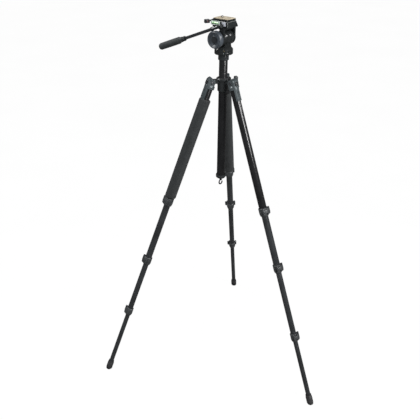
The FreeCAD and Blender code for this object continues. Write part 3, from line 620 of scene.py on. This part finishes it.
def lever_ribs(leg, stage, matrix, pin_radius):
    """Upright grip ribs on a lock lever's outer face."""
    low, high = extent_along(f"{leg}_lock_lever_{stage}", matrix)
    reach = pin_radius - LEVER_PIN_TO_COLLAR + LEVER_CLEARANCE + LEVER_THICKNESS
    size = (0.0009, 0.0011, (high - low) * RIB_LENGTH_SHARE)
    ribs = []
    for i in range(RIB_COUNT):
        turn = Matrix.Rotation(math.radians(RIB_FIRST_DEG + RIB_STEP_DEG * i), 4, "Z")
        spot = matrix @ turn @ Matrix.Translation((reach, 0, (low + high) / 2))
        ribs.append(block(size, spot, 0.0003, 2))
    finish_mesh(f"{leg}_lever_ribs_{stage}", merged(*ribs), "plastic", f"{leg}_lever_{stage}")


def bracket_details(leg, matrix):
    """Tongue screws and grip lines on the angle stop."""
    for i, height in enumerate(TONGUE_SCREW_HEIGHTS):
        spot = matrix @ facing((TONGUE_RIB_FACE, 0, height), (1, 0, 0))
        name = f"{leg}_tongue_screw_{i + 1}"
        screw_head(name, spot, 0.0021, 0.0007, "dark_steel", f"{leg}_leg")
    lines = []
    for i in range(4):
        spot = matrix @ Matrix.Translation((STOP_FACE, 0, STOP_RIDGE_TOP - STOP_RIDGE_STEP * i))
        lines.append(block((0.0008, 0.0094, 0.0008), spot, 0.00025, 2))
    finish_mesh(f"{leg}_stop_ridges", merged(*lines), "plastic", f"{leg}_stop")


def leg_details():
    for leg in LEGS:
        matrix = leg_frame(leg)
        for stage in LOCK_STAGES:
            lock_details(leg, stage, matrix)
        bracket_details(leg, matrix)
        if leg in FOAM_LEGS:
            foam_piece(leg, matrix)


# ----------------------------------------------------------------------- head


def knob_details():
    """Dark cap and a rim ring on the drag knob, and a ring and screws on the far cheek."""
    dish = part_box("tilt_drag_knob")[0].x
    axis_height = JOINTS["tilt"]["pos_m"][2]
    face = facing((dish + CAP_RECESS, 0, axis_height), (-1, 0, 0))
    cap = [
        (0.0, -0.0004), (0.0110, -0.0004), (0.0112, 0.0002), (0.0108, 0.0006), (0.0092, 0.0006),
        (0.0090, 0.0003), (0.0084, 0.0003), (0.0082, 0.0006), (0.0030, 0.0008), (0.0, 0.0008),
    ]
    finish_mesh("knob_cap", lathe(cap, face, 96), "gloss", "drag_knob", 25)
    rim = [(0.0243, 0.0), (0.0247, 0.0004), (0.0252, 0.0), (0.0247, -0.0004)]
    rim_face = facing((dish + 0.0003, 0, axis_height), (-1, 0, 0))
    finish_mesh("knob_rim_ring", lathe(rim, rim_face, 128), "knob", "drag_knob")
    ring = [(0.0128, -0.0003), (0.0128, 0.0004), (0.0118, 0.0006), (0.0108, 0.0004), (0.0108, -0.0003)]
    far_face = facing((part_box("tilt_platform")[1].x, 0, axis_height), (1, 0, 0))
    finish_mesh("cheek_ring", lathe(ring, far_face, 96), "gloss", "platform")
    screw_head("cheek_screw", far_face, 0.0042, 0.0016, "steel", "platform")
    for i in range(3):
        spot = far_face @ Matrix.Translation(around(0.0085, math.radians(90 + 120 * i)))
        screw_head(f"cheek_small_screw_{i + 1}", spot, 0.0014, 0.0007, "dark_steel", "platform")


def base_details():
    """Index plug on the turntable, tick under it, and the collar's grub screws and band."""
    base_low, base_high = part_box("pan_base")
    rim = (base_high.x - base_low.x) / 2
    outward = around(1, math.radians(CAMERA_SIDE_DEG))
    plug = [(0.0, -0.0004), (0.0013, -0.0004), (0.0013, 0.0003), (0.0010, 0.0005), (0.0, 0.0005)]
    plug_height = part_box("head_body")[0].z + INDEX_PLUG_HEIGHT
    spot = facing(outward * rim + Vector((0, 0, plug_height)), outward)
    finish_mesh("index_plug", lathe(plug, spot, 32), "brass", "turntable")
    tick_spot = facing(outward * rim + Vector((0, 0, base_low.z + INDEX_TICK_HEIGHT)), outward)
    tick = block((0.0006, 0.0034, 0.0006), tick_spot, 0.0001, 1)
    finish_mesh("index_tick", tick, "housing", "column")
    collar_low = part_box("column_head_plate")[0].z
    ring = [(0.0010, -0.0002), (0.0010, -0.0001), (0.0022, 0.0003), (0.0024, 0.0001), (0.0024, -0.0002)]
    for i in range(3):
        outward = around(1, math.radians(GRUB_FIRST_DEG + 120 * i))
        spot = facing(outward * HEAD_COLLAR_RADIUS + Vector((0, 0, collar_low + GRUB_HEIGHT)), outward)
        finish_mesh(f"grub_screw_{i + 1}", lathe(ring, spot, 32), "dark_steel", "column")
    band = [(0.0174, 0), (0.0180, 0.0003), (0.0180, 0.0010), (0.0174, 0.0013), (0.0170, 0.0013), (0.0170, 0)]
    at = Matrix.Translation((0, 0, collar_low + 0.0020))
    finish_mesh("collar_band", lathe(band, at, 96), "gloss", "column")


def plate_details():
    """Bright insert, painted highlight strips on the receiver's edges, and the release lever's red spot."""
    insert = block(INSERT_SIZE, Matrix.Translation(INSERT_CENTRE), 0.0005, 3)
    finish_mesh("side_insert", insert, "insert", "platform")
    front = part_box("tilt_platform")[0].y - 0.0001
    # Pale strips on the receiver's front left and top edges: painted highlights standing in for light on its
    # chamfers.
    upright = block((0.0009, 0.0008, 0.0140), Matrix.Translation((-0.0205, front, 1.3000)), 0.0003, 2)
    finish_mesh("receiver_side_highlight", upright, "edge_highlight", "platform")
    across_top = block((0.0370, 0.0008, 0.0009), Matrix.Translation((-0.0005, front, 1.3085)), 0.0003, 2)
    finish_mesh("receiver_top_highlight", across_top, "edge_highlight", "platform")
    pivot = Vector(JOINTS["release_lever_swing"]["pos_m"])
    block_centre = Vector(LEVER_BLOCK_CENTRE)
    along = (block_centre - Vector((pivot.x, pivot.y, block_centre.z))).normalized()
    across = Vector((-along.y, along.x, 0))
    side = across if across.y < 0 else -across
    spot = facing(block_centre + side * LEVER_BLOCK_HALF_WIDTH, side)
    disc = [(0.0, -0.0004), (0.0026, -0.0004), (0.0027, 0.0001), (0.0023, 0.0005), (0.0, 0.0006)]
    finish_mesh("lever_spot", lathe(disc, spot, 40), "red", "release_lever")


def cork_face():
    """The cork pad with its rough, granular surface."""
    cork = dense_copy("cork_pad", "cork_face", 0.00055)
    roughen(cork, 0.00010, 1400.0)
    cork.data.materials.clear()
    cork.data.materials.append(MATERIALS["cork"])
    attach(cork, "plate")
    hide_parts("cork_pad")


def dense_copy(node, name, voxel):
    """A finely meshed copy of a CAD node, ready for surface work."""
    piece = bpy.data.objects.new(name, NODES[node].data.copy())
    piece.data.name = name
    bpy.context.scene.collection.objects.link(piece)
    remesh = piece.modifiers.new("even", "REMESH")
    remesh.mode = "VOXEL"
    remesh.voxel_size = voxel
    remesh.use_smooth_shade = True
    bake_modifiers(piece)
    return piece


def roughen(piece, depth, scale):
    """Moves points inwards by a fixed three-dimensional noise."""
    mesh = piece.data
    normals = [v.normal.copy() for v in mesh.vertices]
    for vertex, normal in zip(mesh.vertices, normals):
        value = noise.noise(vertex.co * scale)
        vertex.co = vertex.co - normal * depth * (0.5 + 0.5 * value)


def level_details():
    """Level: pale housing with two end blocks, a green vial, its bubble and lines."""
    low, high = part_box("bubble_level")
    centre = (low + high) / 2
    size = high - low
    back = block((0.0016, size.y, size.z), Matrix.Translation((high.x - 0.0008, centre.y, centre.z)), 0.0006)
    shelf_spot = Matrix.Translation((high.x - size.x * 0.43, centre.y, low.z + 0.0008))
    shelf = block((size.x * 0.86, size.y, 0.0016), shelf_spot, 0.0005)
    roof_spot = Matrix.Translation((high.x - size.x * 0.25, centre.y, high.z - 0.0006))
    roof = block((size.x * 0.5, size.y, 0.0012), roof_spot, 0.0004)
    ends = []
    for sign in (-1, 1):
        end_y = centre.y + sign * (size.y - LEVEL_END_LENGTH) / 2
        spot = Matrix.Translation((centre.x + 0.0002, end_y, centre.z))
        ends.append(block((size.x - 0.0004, LEVEL_END_LENGTH, size.z), spot, 0.0014, 4))
    housing = finish_mesh("level_housing", merged(back, shelf, roof, *ends), "housing", "platform")
    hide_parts("bubble_level")
    half = size.y / 2 - VIAL_END_GAP
    line = facing((centre.x - 0.0002, centre.y, centre.z + 0.0002), (0, 1, 0))
    tube = [(0.0, -half), (VIAL_RADIUS, -half), (VIAL_RADIUS, half), (0.0, half)]
    finish_mesh("level_vial", lathe(tube, line, 48), "liquid", "platform")
    bubble = [
        (0.0, -0.0042), (0.0012, -0.0037), (0.0019, -0.0026), (0.0022, 0.0),
        (0.0019, 0.0026), (0.0012, 0.0037), (0.0, 0.0042),
    ]
    raised = Matrix.Translation((-0.0012, 0, 0.0014)) @ line
    finish_mesh("level_bubble", lathe(bubble, raised, 40), "bubble", "platform", 60)
    outer = VIAL_RADIUS + 0.00015
    ring = [(VIAL_RADIUS, -0.00025), (outer, -0.00015), (outer, 0.00015), (VIAL_RADIUS, 0.00025)]
    for i, offset in enumerate((-VIAL_LINE_OFFSET, VIAL_LINE_OFFSET)):
        spot = line @ Matrix.Translation((0, 0, offset))
        finish_mesh(f"level_line_{i + 1}", lathe(ring, spot, 48), "gloss", "platform")


def grip_profile(start, end):
    """The grip's outline: bored end, grooved nose, neck, long barrel and rounded tip."""
    profile = [(0.0, end - 0.0076), (GRIP_BORE, end - 0.0076), (GRIP_BORE, start + 0.0004)]
    profile += [(GRIP_NOSE - 0.0012, start + 0.0002), (GRIP_NOSE, start + 0.0012)]
    for i in range(GRIP_GROOVES):
        groove = start + 0.0040 + 0.0030 * i
        low = GRIP_NOSE - 0.0006
        profile += [(GRIP_NOSE, groove), (low, groove + 0.0004), (low, groove + 0.0009)]
        profile.append((GRIP_NOSE, groove + 0.0013))
    profile += [(GRIP_NOSE, start + 0.0150), (GRIP_NECK, start + 0.0166), (GRIP_NECK, start + 0.0260)]
    body_start, body_end = start + 0.0290, end - 0.0080
    for i in range(GRIP_STEPS + 1):
        t = i / GRIP_STEPS
        swell = 0.0002 * math.sin(math.pi * t)
        profile.append((GRIP_BARREL - 0.00025 + swell, body_start + (body_end - body_start) * t))
    return profile + [
        (0.0116, end - 0.0068), (0.0116, end - 0.0062), (0.0118, end - 0.0056), (0.0108, end - 0.0028),
        (0.0088, end - 0.0010), (0.0060, end - 0.0002), (0.0, end),
    ]


def grip_piece():
    """Moulded grip, turned about the handle's axis."""
    twist = JOINTS["handle_twist"]
    matrix = facing(Vector(twist["pos_m"]), Vector(twist["axis"]).normalized())
    start, end = extent_along("handle_grip", matrix)
    sleeve = lathe(grip_profile(start, end), matrix, 96)
    piece = finish_mesh("grip_sleeve", sleeve, "grip", "handle", 32)
    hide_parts("handle_grip")


def column_details():
    """Bumper ring and lug screws on the spider, and knurling on the column's end cap."""
    top = Matrix.Translation((0, 0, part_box("spider")[1].z))
    ring = [(0.0149, 0), (0.0149, 0.0007), (0.0154, 0.0011), (0.0196, 0.0011), (0.0204, 0.0005), (0.0204, 0)]
    finish_mesh("spider_bumper", lathe(ring, top, 96), "rubber", "spider")
    for leg in LEGS:
        fold = leg_frame(leg).translation
        outward = Vector((fold.x, fold.y, 0)).normalized()
        spot = facing(outward * LUG_SCREW_RADIUS + Vector((0, 0, fold.z + LUG_HALF_HEIGHT)), (0, 0, 1))
        screw_head(f"{leg}_lug_screw", spot, 0.0026, 0.0009, "dark_steel", "spider")
    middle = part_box("column_end_cap")[0].z + KNURL_HEIGHT
    teeth = []
    for i in range(KNURL_TEETH):
        turn = Matrix.Rotation(2 * math.pi * i / KNURL_TEETH, 4, "Z")
        spot = turn @ Matrix.Translation((KNURL_RADIUS, 0, middle))
        teeth.append(block((0.0006, 0.0014, 0.0060), spot, 0.0002, 1))
    finish_mesh("end_cap_knurl", merged(*teeth), "plastic", "column")


def head_details():
    knob_details()
    base_details()
    plate_details()
    cork_face()
    level_details()
    grip_piece()
    column_details()


# ----------------------------------------------------------- stage and camera


def make_stage():
    floor_mesh = bpy.data.meshes.new("floor")
    half = FLOOR_HALF
    corners = [(-half, -half, 0), (half, -half, 0), (half, half, 0), (-half, half, 0)]
    floor_mesh.from_pydata(corners, [], [(0, 1, 2, 3)])
    floor = bpy.data.objects.new("floor", floor_mesh)
    bpy.context.scene.collection.objects.link(floor)
    floor.data.materials.append(pale_floor("pale_floor"))
    floor.visible_glossy = False


def area_light(name, position, target, size, power):
    """A rectangular light that points at target."""
    light = bpy.data.lights.new(name, "AREA")
    light.shape = "RECTANGLE"
    light.size, light.size_y = size
    light.energy = power
    lamp = bpy.data.objects.new(name, light)
    bpy.context.scene.collection.objects.link(lamp)
    lamp.location = position
    lamp.rotation_euler = (Vector(target) - Vector(position)).to_track_quat("-Z", "Y").to_euler()
    return lamp


def make_world():
    """Bright to the camera, softer grey to everything else."""
    world = bpy.data.worlds.new("studio")
    bpy.context.scene.world = world
    world.use_nodes = True
    nodes, links = world.node_tree.nodes, world.node_tree.links
    background = nodes["Background"]
    path = nodes.new("ShaderNodeLightPath")
    soft = combine(nodes, links, path.outputs["Is Glossy Ray"], WORLD_GLOSSY - WORLD_DIFFUSE, "MULTIPLY")
    soft = combine(nodes, links, soft, WORLD_DIFFUSE)
    seen = combine(nodes, links, path.outputs["Is Camera Ray"], WORLD_SEEN - WORLD_DIFFUSE, "MULTIPLY")
    links.new(combine(nodes, links, soft, seen), background.inputs["Strength"])
    background.inputs["Color"].default_value = (1.0, 1.0, 1.0, 1)


def make_camera():
    """The photograph's camera, as fitted to it."""
    yaw, pitch, roll = (math.radians(a) for a in (CAMERA_YAW_DEG, CAMERA_PITCH_DEG, CAMERA_ROLL_DEG))
    camera = bpy.data.cameras.new("camera")
    camera.sensor_width = SENSOR_WIDTH
    camera.lens = LENS_LENGTH
    camera.shift_x, camera.shift_y = LENS_SHIFT
    camera.clip_start, camera.clip_end = 0.01, 200
    eye = bpy.data.objects.new("camera", camera)
    bpy.context.scene.collection.objects.link(eye)
    forward = Vector((math.sin(yaw) * math.cos(pitch), math.cos(yaw) * math.cos(pitch), -math.sin(pitch)))
    right = Vector((math.cos(yaw), -math.sin(yaw), 0))
    up = right.cross(forward)
    turned_right = math.cos(roll) * right + math.sin(roll) * up
    turned_up = -math.sin(roll) * right + math.cos(roll) * up
    matrix = Matrix((turned_right, turned_up, -forward)).transposed().to_4x4()
    matrix.translation = Vector(CAMERA_PLACE)
    eye.matrix_world = matrix
    bpy.context.scene.camera = eye


def make_lights():
    """Tall key in front, soft fill from the left, and two small lights for the head's gleams."""
    area_light("key", (-0.2, -3.2, 2.6), (0, 0, 0.8), (0.7, 2.6), 190)
    fill = area_light("fill", (-3.0, 0.6, 2.2), (0, 0, 0.9), (2.0, 2.0), 70)
    fill.visible_glossy = False
    area_light("rim", (-1.2, 1.9, 3.3), (0, 0, 1.2), (1.4, 1.0), 75)
    area_light("glint", (1.7, -2.6, 2.9), (0, 0, 1.2), (1.0, 1.0), 55)


def main():
    bpy.context.scene.view_settings.view_transform = "Standard"
    dress_cad_nodes()
    leg_details()
    head_details()
    make_stage()
    make_world()
    make_camera()
    make_lights()


main()
